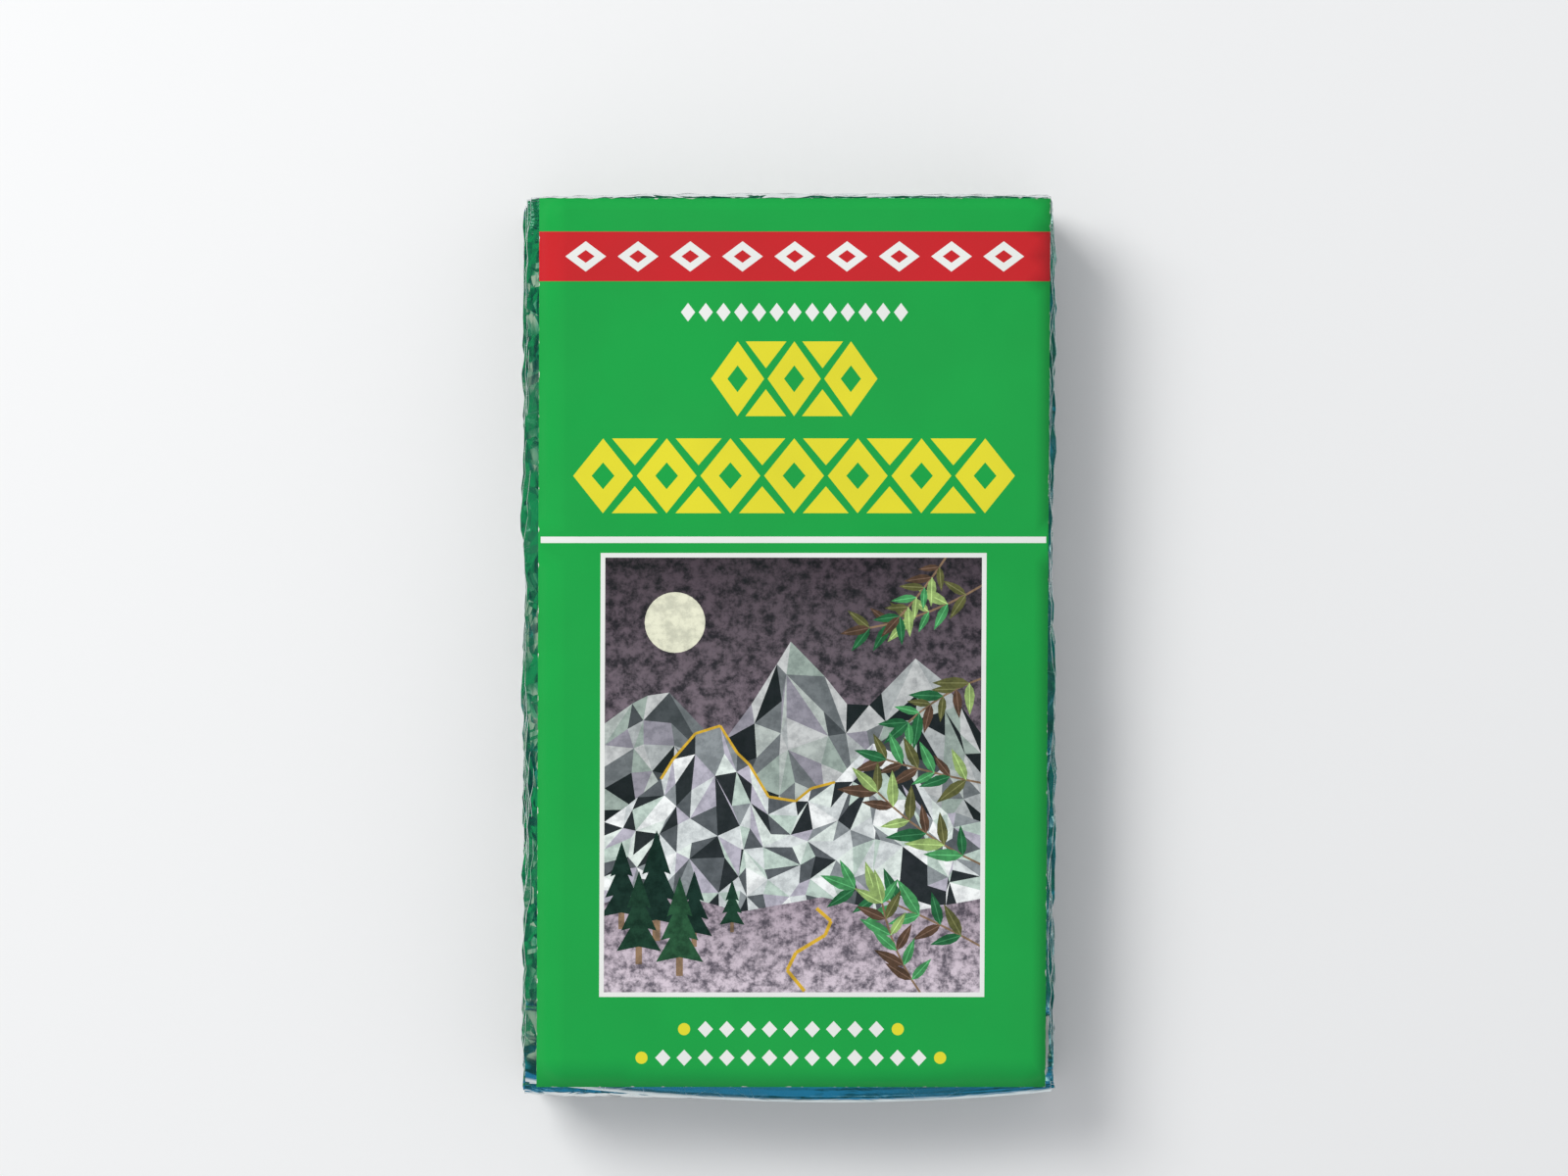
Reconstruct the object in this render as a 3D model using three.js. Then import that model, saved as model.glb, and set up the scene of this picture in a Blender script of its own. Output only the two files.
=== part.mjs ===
// A folded emergency sleeping bag, lying on its back with its printed label face up.
//
// The open bag is a long flat tube of thin metallised film, and it is folded twice. First its width
// is gathered, ply on ply, into a narrow strip. Then the strip is laid back and forth, layer on
// layer, into a flat pack. The gathered strip is one sheet here, and each of its layers and turns
// is there, a little apart. A printed label sheet lies on the top layer, with a rim of film
// showing all round it.
//
// Frame, in millimetres: +X to the label's right, +Y to its top, +Z out of its face. The origin is
// the middle of the face that the pack rests on.
import * as THREE from "three";

// The open bag, 84 by 36 inches.
const BAG_LENGTH = 2134;
const BAG_WIDTH = 914;

// How it is folded. Its width is gathered in plies into a strip, whose own turns take up a little of
// that width. The strip is then laid back and forth in one layer fewer than FOLDS has rows.
const PLIES = 10;
const PLY_TURNS = 1.3;
const STRIP_WIDTH = BAG_WIDTH / PLIES - PLY_TURNS;
const STRIP_THICKNESS = 1.0;

// The strip's two free ends and the turns between them, from the resting face up. The first free
// end is at the label's bottom, the turn after it at its top, and so on, by turns. In millimetres:
//   inset: how far the fold's outside falls short of the pack's end
//   slant: how much further out the fold is at the right than at the left
//   bow:   how much further out the fold's middle is than its two corners
//   shift: how far the strip has strayed to the right
//   loose: what the fold's bulge adds to the gap between its two layers
const FOLDS = [
  { inset: 2.6, slant: -1.4, bow: 0.4, shift: 0.2, loose: 0.0 },
  { inset: 1.4, slant: 0.6, bow: 0.5, shift: -0.3, loose: 0.1 },
  { inset: 1.0, slant: -0.8, bow: 0.7, shift: 0.3, loose: 0.3 },
  { inset: 2.3, slant: -0.7, bow: 0.4, shift: -0.1, loose: 0.0 },
  { inset: 1.7, slant: 0.9, bow: 0.9, shift: 0.4, loose: 0.1 },
  { inset: 0.7, slant: 0.5, bow: 0.6, shift: 0.1, loose: 0.4 },
  { inset: 2.1, slant: 1.2, bow: 0.6, shift: -0.4, loose: 0.0 },
  { inset: 1.9, slant: -0.9, bow: 0.3, shift: 0.2, loose: 0.1 },
  { inset: 1.2, slant: -0.5, bow: 1.1, shift: -0.2, loose: 0.3 },
  { inset: 0.9, slant: 0.8, bow: 0.7, shift: 0.3, loose: 0.2 },
  { inset: 0.6, slant: -1.6, bow: 1.4, shift: -0.3, loose: 0.1 },
  { inset: 1.5, slant: -0.4, bow: 0.4, shift: 0.1, loose: 0.0 },
  { inset: 1.8, slant: 0.7, bow: 0.8, shift: 0.2, loose: 0.3 },
  { inset: 0.0, slant: 0.3, bow: 0.3, shift: -0.1, loose: 0.3 },
  { inset: 0.0, slant: 1.7, bow: 2.6, shift: 0.1, loose: 0.0 },
];
const LAYERS = FOLDS.length - 1;

// The pack is longer than a layer, because no two folds lie in line.
const STRAY = 3.2;
const PACK_LENGTH = BAG_LENGTH / LAYERS + STRAY;

// Air between two layers at the pack's rim, and what is added to it in the middle of the pack.
const RIM_GAP = 0.34;
const CROWN_GAP = 0.1;

// Long low waves of the layers: what they add to each gap, and their lengths across and along.
const WAVE_GAP = 0.015;
const WAVE_ACROSS = 58;
const WAVE_ALONG = 83;

// The strip's long edges aren't straight: the height and length of their wave, and where in it the
// strip starts, at its left edge and at its right one.
const EDGE_WAVE = 0.4;
const EDGE_WAVE_LENGTH = 91;
const EDGE_WAVE_START = { left: 2.5, right: 0.5 };

// The label sheet's top and bottom edges, from the pack's middle. It is a little wider at its top
// than at its bottom, and lies just clear of the film.
const LABEL_TOP = { y: 77.0, left: -42.7, right: 44.8 };
const LABEL_BOTTOM = { y: -75.1, left: -43.2, right: 43.9 };
const LABEL_THICKNESS = 1.0;
const LABEL_CLEARANCE = 0.4;

// Steps of the meshes.
const STEPS_ALONG_LAYER = 8;
const STEPS_ROUND_TURN = 6;
const STEPS_ACROSS_STRIP = 10;
const LABEL_STEPS_UP = 14;
const LABEL_STEPS_ACROSS = 10;

const between = (start, end, share) => start + (end - start) * share;

// The end of the pack that a fold lies at: 1 at the label's top, -1 at its bottom.
const sideOf = (fold) => (fold % 2 === 0 ? -1 : 1);

// Height of the middle of a layer above a place on the resting face. Every layer lies on the ones
// below it, so it takes on their crown, their waves and the bulges of their turns.
function layerHeight(layer, x, y) {
  const across = Math.max(-1, Math.min(1, (2 * x) / STRIP_WIDTH));
  const along = Math.max(-1, Math.min(1, (2 * y) / PACK_LENGTH));
  const crown = ((1 - across ** 2) * (1 - along ** 2)) ** 2;
  const wave = Math.sin((2 * Math.PI * x) / WAVE_ACROSS) * Math.cos((2 * Math.PI * y) / WAVE_ALONG);
  let height = STRIP_THICKNESS / 2;
  for (let fold = 1; fold <= layer; fold++) {
    const nearness = ((1 + sideOf(fold) * along) / 2) ** 2;
    height += STRIP_THICKNESS + RIM_GAP + CROWN_GAP * crown + WAVE_GAP * wave + FOLDS[fold].loose * nearness;
  }
  return height;
}

// How far out a fold is, at a place across the strip: -1 at its left edge, 1 at its right one.
function outermost(fold, across) {
  const { inset, slant, bow } = FOLDS[fold];
  return PACK_LENGTH / 2 - inset + (slant * across) / 2 - bow * across ** 2;
}

// Where the middle of the strip starts to bend at a fold, so that its outside comes to its place.
// A free end doesn't bend.
function bendStart(fold, x, across) {
  const outside = sideOf(fold) * outermost(fold, across);
  if (fold === 0 || fold === LAYERS) return outside;
  const pitch = layerHeight(fold, x, outside) - layerHeight(fold - 1, x, outside);
  return outside - (sideOf(fold) * (pitch + STRIP_THICKNESS)) / 2;
}

// The strip's edges and all between them, at a place along it, measured in layers.
function placeAcross(layersAlong, across, shift) {
  const start = between(EDGE_WAVE_START.left, EDGE_WAVE_START.right, (across + 1) / 2);
  const wave = Math.sin((2 * Math.PI * layersAlong * PACK_LENGTH) / EDGE_WAVE_LENGTH + start);
  return across * (STRIP_WIDTH / 2 + EDGE_WAVE * wave) + shift;
}

// Rows along the strip, from its first end to its last: steps along each layer and round each turn.
function stripRows() {
  const rows = [];
  for (let layer = 0; layer < LAYERS; layer++) {
    for (let step = 0; step <= STEPS_ALONG_LAYER; step++) {
      rows.push({ layer, share: step / STEPS_ALONG_LAYER, angle: 0 });
    }
    if (layer === LAYERS - 1) break;
    for (let step = 1; step < STEPS_ROUND_TURN; step++) {
      rows.push({ layer, share: 1, angle: (Math.PI * step) / STEPS_ROUND_TURN });
    }
  }
  return rows;
}

// The strip's middle at a row and a place across it, and which way its first face looks there.
function stripPoint({ layer, share, angle }, across) {
  const from = layer;
  const to = layer + 1;
  const x = placeAcross(layer + share, across, between(FOLDS[from].shift, FOLDS[to].shift, share));
  const y = between(bendStart(from, x, across), bendStart(to, x, across), share);
  const z = layerHeight(layer, x, y);
  if (angle === 0) return { middle: [x, y, z], face: [0, 0, sideOf(to)] };

  const radius = (layerHeight(layer + 1, x, y) - z) / 2;
  return {
    middle: [x, y + sideOf(to) * radius * Math.sin(angle), z + radius * (1 - Math.cos(angle))],
    face: [0, -Math.sin(angle), sideOf(to) * Math.cos(angle)],
  };
}

// A closed sheet from a grid of points. Rows run along it and columns across it, from left to
// right, and side 0 is the face that looks up where the rows run to the label's top.
function sheetFromGrid(rowCount, columnCount, pointOn) {
  const positions = [];
  for (let row = 0; row < rowCount; row++) {
    for (let column = 0; column < columnCount; column++) {
      positions.push(...pointOn(row, column, 0), ...pointOn(row, column, 1));
    }
  }

  const at = (row, column, side) => 2 * (row * columnCount + column) + side;
  const indices = [];
  const quad = (a, b, c, d) => indices.push(a, b, c, a, c, d);
  const lastRow = rowCount - 1;
  const lastColumn = columnCount - 1;
  for (let row = 0; row < lastRow; row++) {
    const next = row + 1;
    for (let column = 0; column < lastColumn; column++) {
      const right = column + 1;
      quad(at(row, column, 0), at(row, right, 0), at(next, right, 0), at(next, column, 0));
      quad(at(row, column, 1), at(next, column, 1), at(next, right, 1), at(row, right, 1));
    }
    quad(at(row, 0, 0), at(next, 0, 0), at(next, 0, 1), at(row, 0, 1));
    quad(at(row, lastColumn, 0), at(row, lastColumn, 1), at(next, lastColumn, 1), at(next, lastColumn, 0));
  }
  for (let column = 0; column < lastColumn; column++) {
    const right = column + 1;
    quad(at(0, column, 0), at(0, column, 1), at(0, right, 1), at(0, right, 0));
    quad(at(lastRow, column, 0), at(lastRow, right, 0), at(lastRow, right, 1), at(lastRow, column, 1));
  }

  const geometry = new THREE.BufferGeometry();
  geometry.setAttribute("position", new THREE.Float32BufferAttribute(positions, 3));
  geometry.setIndex(indices);
  geometry.computeVertexNormals();
  return geometry;
}

// The bag: the gathered strip, laid back and forth.
function makeFoldedBag() {
  const rows = stripRows();
  const geometry = sheetFromGrid(rows.length, STEPS_ACROSS_STRIP + 1, (row, column, side) => {
    const across = (2 * column) / STEPS_ACROSS_STRIP - 1;
    const { middle, face } = stripPoint(rows[row], across);
    const offset = side === 0 ? STRIP_THICKNESS / 2 : -STRIP_THICKNESS / 2;
    return middle.map((value, axis) => value + offset * face[axis]);
  });
  const material = new THREE.MeshStandardMaterial({ color: 0xc3cbcd, roughness: 0.2, metalness: 1.0 });
  const bag = new THREE.Mesh(geometry, material);
  bag.name = "folded_bag";
  return bag;
}

// The printed label, lying on the crowned top layer.
function makeLabel() {
  const geometry = sheetFromGrid(LABEL_STEPS_UP + 1, LABEL_STEPS_ACROSS + 1, (row, column, side) => {
    const up = row / LABEL_STEPS_UP;
    const left = between(LABEL_BOTTOM.left, LABEL_TOP.left, up);
    const right = between(LABEL_BOTTOM.right, LABEL_TOP.right, up);
    const x = between(left, right, column / LABEL_STEPS_ACROSS);
    const y = between(LABEL_BOTTOM.y, LABEL_TOP.y, up);
    const underside = layerHeight(LAYERS - 1, x, y) + STRIP_THICKNESS / 2 + LABEL_CLEARANCE;
    return [x, y, side === 0 ? underside + LABEL_THICKNESS : underside];
  });
  const material = new THREE.MeshStandardMaterial({ color: 0x26a54a, roughness: 0.4, metalness: 0.0 });
  const label = new THREE.Mesh(geometry, material);
  label.name = "printed_label";
  return label;
}

const pack = new THREE.Group();
pack.add(makeFoldedBag(), makeLabel());

// Uneven turns leave the pack a little off its middle, so it is moved back over the origin.
const extent = new THREE.Box3().setFromObject(pack);
const middle = extent.getCenter(new THREE.Vector3());
pack.position.set(-middle.x, -middle.y, -extent.min.z);

export default pack;
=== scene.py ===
import math
import random
from collections import namedtuple

import bpy
import numpy as np
from mathutils.geometry import delaunay_2d_cdt
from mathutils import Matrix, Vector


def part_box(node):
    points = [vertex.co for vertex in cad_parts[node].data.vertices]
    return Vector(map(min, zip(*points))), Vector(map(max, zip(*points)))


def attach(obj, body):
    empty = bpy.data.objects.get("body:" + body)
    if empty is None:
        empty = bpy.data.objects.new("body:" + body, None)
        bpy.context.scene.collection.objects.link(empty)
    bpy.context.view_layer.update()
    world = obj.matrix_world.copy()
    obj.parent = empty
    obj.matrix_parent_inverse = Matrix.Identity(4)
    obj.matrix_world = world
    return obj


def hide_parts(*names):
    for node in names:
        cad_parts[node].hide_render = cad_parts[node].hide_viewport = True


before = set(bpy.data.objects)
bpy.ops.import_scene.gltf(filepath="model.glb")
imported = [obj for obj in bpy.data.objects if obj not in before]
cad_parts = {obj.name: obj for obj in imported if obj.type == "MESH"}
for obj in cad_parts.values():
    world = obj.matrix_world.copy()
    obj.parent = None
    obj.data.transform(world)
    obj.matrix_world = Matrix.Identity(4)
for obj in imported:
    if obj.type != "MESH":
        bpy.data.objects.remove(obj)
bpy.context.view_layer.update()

# Camera. It looks straight down on the label, as in the photograph, where the pack lies a little
# below the middle of the picture. A millimetre of the label is about six of its pixels.
METRES_PER_PIXEL = 0.0001675
PICTURE_SIZE = (1600, 1200)
PACK_MIDDLE_PIXEL = (805, 661.5)
CAMERA_HEIGHT = 1.2
SENSOR_WIDTH_MM = 36

camera_data = bpy.data.cameras.new("camera")
camera = bpy.data.objects.new("camera", camera_data)
bpy.context.scene.collection.objects.link(camera)
camera_data.sensor_fit = "HORIZONTAL"
camera_data.sensor_width = SENSOR_WIDTH_MM
camera_data.lens = SENSOR_WIDTH_MM * CAMERA_HEIGHT / (PICTURE_SIZE[0] * METRES_PER_PIXEL)
camera_data.clip_start = 0.01
camera.location = (
    (PICTURE_SIZE[0] / 2 - PACK_MIDDLE_PIXEL[0]) * METRES_PER_PIXEL,
    (PACK_MIDDLE_PIXEL[1] - PICTURE_SIZE[1] / 2) * METRES_PER_PIXEL,
    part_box("printed_label")[1].z + CAMERA_HEIGHT,
)
bpy.context.scene.camera = camera


# Surface and light. A plain pale floor under a soft key light from the upper left, in a pale room.
# The mirror-bright film sees the studio's dark ceiling instead, green to the upper left and blue to
# the bottom, with a few soft lamps and one pale panel in it.
FLOOR_WIDTH = 6.0
KEY_PLACE = (-0.75, 0.65, 1.0)
KEY_SIZE = 0.7
KEY_WATTS = 13.0
ROOM_COLOUR = (0.56, 0.57, 0.6, 1.0)
WALL_COLOUR = (0.75, 0.8, 0.82, 1.0)
CEILING_GREEN = (0.012, 0.32, 0.105, 1.0)
CEILING_BLUE = (0.02, 0.2, 0.36, 1.0)
CEILING_DARK = (0.006, 0.05, 0.045, 1.0)
LAMP_COLOUR = (0.7, 1.2, 1.1, 1.0)
PANEL_COLOUR = (0.44, 0.58, 0.42, 1.0)
PANEL_PLACE = (-0.41, -0.13, 0.9)

# Where the ceiling goes from green to blue, and how far that leans to the right. Where it darkens
# to the upper right, and by how much. How the noise in it makes dark clouds and lamps. Where the
# panel ends and the wall begins, and how much higher the wall stands to the upper right.
BLUE_REACH = (-0.2, 0.5)
BLUE_LEAN = 0.25
DARK_REACH = (0.1, 0.7)
DARK_SHARE = 0.65
CLOUD_SCALE = 5.2
CLOUD_DETAIL = 1.5
CLOUD_EDGE = (0.4, 0.54)
LAMP_EDGE = (0.66, 0.72)
PANEL_EDGE = (0.993, 0.997)
WALL_EDGE = (0.12, 0.4)
WALL_LEAN = 0.3


def srgb(red, green, blue):
    """A colour as a screen shows it, from 0 to 255, as the linear colour that a shader takes."""
    shares = [value / 255 for value in (red, green, blue)]
    return tuple(s / 12.92 if s <= 0.04045 else ((s + 0.055) / 1.055) ** 2.4 for s in shares) + (1.0,)


def plug(tree, socket, value):
    """Links a node's output to a socket, or sets the socket to a plain value."""
    if isinstance(value, bpy.types.NodeSocket):
        tree.links.new(value, socket)
    else:
        socket.default_value = value


def add_node(tree, kind, inputs=(), **settings):
    """A new shader node with its settings made. inputs are pairs of a socket's name and its value."""
    node = tree.nodes.new(kind)
    for name, value in settings.items():
        setattr(node, name, value)
    for name, value in inputs:
        plug(tree, node.inputs[name], value)
    return node


def calculate(tree, operation, first, second=0.0):
    """The output of a Math node."""
    return add_node(tree, "ShaderNodeMath", ((0, first), (1, second)), operation=operation).outputs[0]


def noise(tree, place, scale, detail):
    """The output of a Noise Texture node."""
    inputs = (("Vector", place), ("Scale", scale), ("Detail", detail))
    return add_node(tree, "ShaderNodeTexNoise", inputs).outputs["Fac"]


def ramp(tree, value, low, high, start=0.0, end=1.0):
    """A value that goes smoothly from start to end while the given one goes from low to high."""
    limits = (("From Min", low), ("From Max", high), ("To Min", start), ("To Max", end))
    inputs = (("Value", value), *limits)
    return add_node(tree, "ShaderNodeMapRange", inputs, interpolation_type="SMOOTHSTEP").outputs["Result"]


def blend(tree, share, first, second, mode="MIX"):
    """The output of a colour mix: the first colour where share is 0, the second where it is 1."""
    inputs = ((0, share), (6, first), (7, second))
    return add_node(tree, "ShaderNodeMix", inputs, data_type="RGBA", blend_type=mode).outputs[2]


FLOOR_COLOUR = srgb(240, 240, 238)
half = FLOOR_WIDTH / 2
floor_mesh = bpy.data.meshes.new("floor")
floor_corners = [(-half, -half, 0), (half, -half, 0), (half, half, 0), (-half, half, 0)]
floor_mesh.from_pydata(floor_corners, [], [(0, 1, 2, 3)])
floor = bpy.data.objects.new("floor", floor_mesh)
bpy.context.scene.collection.objects.link(floor)
floor_material = bpy.data.materials.new("pale_floor")
floor_material.use_nodes = True
floor_shader = floor_material.node_tree.nodes["Principled BSDF"]
floor_shader.inputs["Base Color"].default_value = FLOOR_COLOUR
floor_shader.inputs["Roughness"].default_value = 0.9
floor_shader.inputs["Specular IOR Level"].default_value = 0.1
floor_mesh.materials.append(floor_material)

key_data = bpy.data.lights.new("key", "AREA")
key_data.size = KEY_SIZE
key_data.energy = KEY_WATTS
key = bpy.data.objects.new("key", key_data)
key.visible_glossy = False
key.location = KEY_PLACE
key.rotation_euler = (
    math.atan2(math.hypot(KEY_PLACE[0], KEY_PLACE[1]), KEY_PLACE[2]),
    0,
    math.atan2(KEY_PLACE[1], KEY_PLACE[0]) + math.pi / 2,
)
bpy.context.scene.collection.objects.link(key)

room = bpy.data.worlds.new("room")
bpy.context.scene.world = room
room.use_nodes = True
tree = room.node_tree
tree.nodes.clear()
direction = add_node(tree, "ShaderNodeTexCoord").outputs["Generated"]
to_right, to_top, upward = add_node(tree, "ShaderNodeSeparateXYZ", ((0, direction),)).outputs
some_right = calculate(tree, "MULTIPLY", to_right, BLUE_LEAN)
towards_blue = ramp(tree, calculate(tree, "SUBTRACT", some_right, to_top), *BLUE_REACH)
to_far_right = calculate(tree, "MAXIMUM", calculate(tree, "ADD", to_right, to_top), 0.0)
ceiling = blend(tree, towards_blue, CEILING_GREEN, CEILING_BLUE)
ceiling = blend(tree, ramp(tree, to_far_right, *DARK_REACH, 0.0, DARK_SHARE), ceiling, CEILING_DARK)
clouds = noise(tree, direction, CLOUD_SCALE, CLOUD_DETAIL)
ceiling = blend(tree, ramp(tree, clouds, *CLOUD_EDGE), CEILING_DARK, ceiling)
ceiling = blend(tree, ramp(tree, clouds, *LAMP_EDGE), ceiling, LAMP_COLOUR)
to_panel = ((0, direction), (1, PANEL_PLACE))
to_panel = add_node(tree, "ShaderNodeVectorMath", to_panel, operation="DOT_PRODUCT").outputs["Value"]
ceiling = blend(tree, ramp(tree, to_panel, *PANEL_EDGE), ceiling, PANEL_COLOUR)
above_wall = calculate(tree, "ADD", upward, calculate(tree, "MULTIPLY", to_far_right, WALL_LEAN))
in_gloss = blend(tree, ramp(tree, above_wall, *WALL_EDGE), WALL_COLOUR, ceiling)
gloss_ray = add_node(tree, "ShaderNodeLightPath").outputs["Is Glossy Ray"]
room_colour = blend(tree, gloss_ray, ROOM_COLOUR, in_gloss)
background = add_node(tree, "ShaderNodeBackground", (("Color", room_colour),))
add_node(tree, "ShaderNodeOutputWorld", (("Surface", background.outputs[0]),))
bpy.context.scene.view_settings.view_transform = "Standard"

# The bag. A tube of aluminium-coated polyester film about a hundredth of a millimetre thick, its
# width gathered in ten plies into a strip, and the strip laid back and forth in fourteen layers.
# Here it is one sheet without thickness, through every ply, layer and turn. Sizes are in millimetres.
MM = 0.001
BAG_LENGTH = 2134
BAG_WIDTH = 914

# The strip is as wide as a ply, less what goes into the plies' turns.
PLIES = 10
PLY_TURNS = 1.3
STRIP_WIDTH = BAG_WIDTH / PLIES - PLY_TURNS
STRIP_THICKNESS = 1.0

# The strip's free ends and turns, from the floor up. The first is at the label's bottom, the next
# at its top, and so on, by turns. inset: how far its outside falls short of the pack's end. slant:
# how much further out it is at the right. bow: how much further out its middle is than its
# corners. shift: how far it has strayed to the right. loose: what its bulge adds to the gap.
Fold = namedtuple("Fold", "inset slant bow shift loose")
FOLDS = [
    Fold(2.6, -1.4, 0.4, 0.2, 0.0),
    Fold(1.4, 0.6, 0.5, -0.3, 0.1),
    Fold(1.0, -0.8, 0.7, 0.3, 0.3),
    Fold(2.3, -0.7, 0.4, -0.1, 0.0),
    Fold(1.7, 0.9, 0.9, 0.4, 0.1),
    Fold(0.7, 0.5, 0.6, 0.1, 0.4),
    Fold(2.1, 1.2, 0.6, -0.4, 0.0),
    Fold(1.9, -0.9, 0.3, 0.2, 0.1),
    Fold(1.2, -0.5, 1.1, -0.2, 0.3),
    Fold(0.9, 0.8, 0.7, 0.3, 0.2),
    Fold(0.6, -1.6, 1.4, -0.3, 0.1),
    Fold(1.5, -0.4, 0.4, 0.1, 0.0),
    Fold(1.8, 0.7, 0.8, 0.2, 0.3),
    Fold(0.0, 0.3, 0.3, -0.1, 0.3),
    Fold(0.0, 1.7, 2.6, 0.1, 0.0),
]
LAYERS = len(FOLDS) - 1
LAYER_LENGTH = BAG_LENGTH / LAYERS

# The pack is longer than a layer, because no two folds lie in line.
FOLD_STRAY = 3.2
PACK_LENGTH = LAYER_LENGTH + FOLD_STRAY

# Air between two layers at the pack's rim, what the crown and the long waves add to it, how long
# these waves are, and the wave of the strip's long edges.
RIM_GAP = 0.34
CROWN_GAP = 0.1
WAVE_GAP = 0.015
WAVE_ACROSS = 58
WAVE_ALONG = 83
EDGE_WAVE = 0.4
EDGE_WAVE_LENGTH = 91
EDGE_WAVE_START = (2.5, 0.5)

# How deep the gathered plies stand, and how uneven that is. How far their turns stray from the
# strip's edge, how far inward the strays are centred, how much further out the middle plies reach
# than the outer ones, and how much the two plies of a turn swell apart.
PLIES_DEPTH = 1.08
DEPTH_UNEVENNESS = 0.07
DEPTH_WAVES = (83, 31, 14)
PLY_STRAY = 1.0
PLY_STRAY_INWARD = 0.3
PLY_STRAY_WAVES = (61, 23, 11, 6.5)
ROUNDED_SIDE = 0.3
TURN_SWELL = 0.75

# Along its sides a layer ripples, sways up and down, and is pinched thinner in places. The powers
# keep what happens at the sides close to them.
SIDE_RIPPLE = 0.1
SIDE_RIPPLE_WAVES = (23, 11, 6.5)
SIDE_WAVE = 0.35
SIDE_WAVES = (59, 27, 15)
SIDE_WAVE_OFFSET = 40
SIDE_PINCH = 0.35
PINCH_WAVES = (43, 19, 9)
SIDE_POWER = 6
TURN_POWER = 12

# How the creases and waves of one layer emboss the next, how a fold's outside is dented, and how
# far the outermost film lifts off the plies under it. The sizes are those of the facets. The dents
# start elsewhere on each fold, and a radian of a turn counts for some millimetres of them.
EMBOSS = 0.15
EMBOSS_SIZES = (37, 23, 15, 9)
EMBOSS_WAVE = 0.04
EMBOSS_WAVES = (61, 29, 13)
FOLD_DENT = 0.35
FOLD_DENT_SIZES = (19, 11, 7, 4.3)
FOLD_DENT_SHIFT = (31, 17)
FOLD_DENT_TURN = 9
LIFT = 0.1
LIFT_SIZES = (13, 8.5, 5.3, 3.7)

# At the strip's free ends the plies are cut unevenly, pressed together and droop, and the top one
# curls down. A welded seam runs across the bag there, flatter than the rest and a step lower.
END_REACH = 19.0
END_STRAY = (0.6, 1.8)
END_FLATTENING = 0.6
END_DROOP = 0.2
END_CURL = 0.35
END_CURL_LENGTH = 1.3
SEAM_WIDTH = 13.4
SEAM_STEP = 0.1
SEAM_STEP_LENGTH = 0.5
SEAM_FLATTENING = 0.85

# The pack's rim droops, the highest layer the most. The lowest film stays above the floor, where
# its plies keep a little apart.
RIM_DROOP = 0.6
RIM_WIDTH = 4.0
FLOOR_CLEARANCE = 0.01
FLOOR_PLY_STEP = 0.002

# Steps of the mesh across the outer plies and round a ply's turn, along a layer and round a fold,
# and near a free end in millimetres. Inner plies only have the coarse places. So do the outer ones
# past a share of a layer's length from its folds, but not on the lowest and the highest layer.
STEPS_PLY = 42
STEPS_PLY_TURN = 3
STEPS_LAYER = 62
STEPS_FOLD = 10
STEPS_END = (0.2, 0.5, 0.9)
FINE_SHARE = 0.05
COARSE_PLACES = (-1, -0.92, 0, 0.92, 1)

inset, slant, bow, shift, loose = np.array(FOLDS).T
side = np.where(np.arange(LAYERS + 1) % 2, 1, -1)
loose_at_top = np.cumsum(np.where(side > 0, loose, 0))
loose_at_bottom = np.cumsum(np.where(side < 0, loose, 0))


def layer_height(layer, x, y):
    """Height of the middle of a layer, with its crown, its waves and the bulges of its turns."""
    across = np.clip(2 * x / STRIP_WIDTH, -1, 1)
    along = np.clip(2 * y / PACK_LENGTH, -1, 1)
    crown = ((1 - across**2) * (1 - along**2)) ** 2
    wave = np.sin(2 * np.pi * x / WAVE_ACROSS) * np.cos(2 * np.pi * y / WAVE_ALONG)
    pitch = STRIP_THICKNESS + RIM_GAP + CROWN_GAP * crown + WAVE_GAP * wave
    bulge = loose_at_top[layer] * ((1 + along) / 2) ** 2 + loose_at_bottom[layer] * ((1 - along) / 2) ** 2
    return STRIP_THICKNESS / 2 + layer * pitch + bulge


def bend_start(fold, x, across):
    """Where the middle of the strip starts to bend at a fold. A free end doesn't bend."""
    reach = PACK_LENGTH / 2 - inset[fold] + slant[fold] * across / 2 - bow[fold] * across**2
    outside = side[fold] * reach
    upper = layer_height(np.minimum(fold, LAYERS - 1), x, outside)
    lower = layer_height(np.maximum(fold - 1, 0), x, outside)
    bends = (fold > 0) & (fold < LAYERS)
    return outside - np.where(bends, side[fold] * (upper - lower + STRIP_THICKNESS) / 2, 0)


def waves(place, lengths, draw):
    """Uneven waves along a place, from -1 to 1: the longer a wave is, the higher it is."""
    weights = np.sqrt(lengths) / np.sqrt(lengths).sum()
    starts = [draw.uniform(0, 2 * math.pi) for _ in lengths]
    turns = [2 * np.pi * place / length + start for length, start in zip(lengths, starts)]
    return sum(weight * np.sin(turn) for weight, turn in zip(weights, turns))


def creases(x, y, sizes, draw):
    """Flat facets between straight creases that cross at odd angles, from -1 to 1."""
    total = 0
    for size in sizes:
        angle, start = draw.uniform(0, math.pi), draw.random()
        step = (x * math.cos(angle) + y * math.sin(angle)) / size + start
        total = total + np.abs(step % 1 * 4 - 2) - 1
    return total / len(sizes)


def rim_droop(from_side, from_end):
    """How far the topmost layer droops at a distance from the pack's side and from its end."""
    side_share = np.clip(1 - from_side / RIM_WIDTH, 0, 1)
    end_share = np.clip(1 - from_end / RIM_WIDTH, 0, 1)
    return RIM_DROOP * (side_share**2 + end_share**2)


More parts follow.
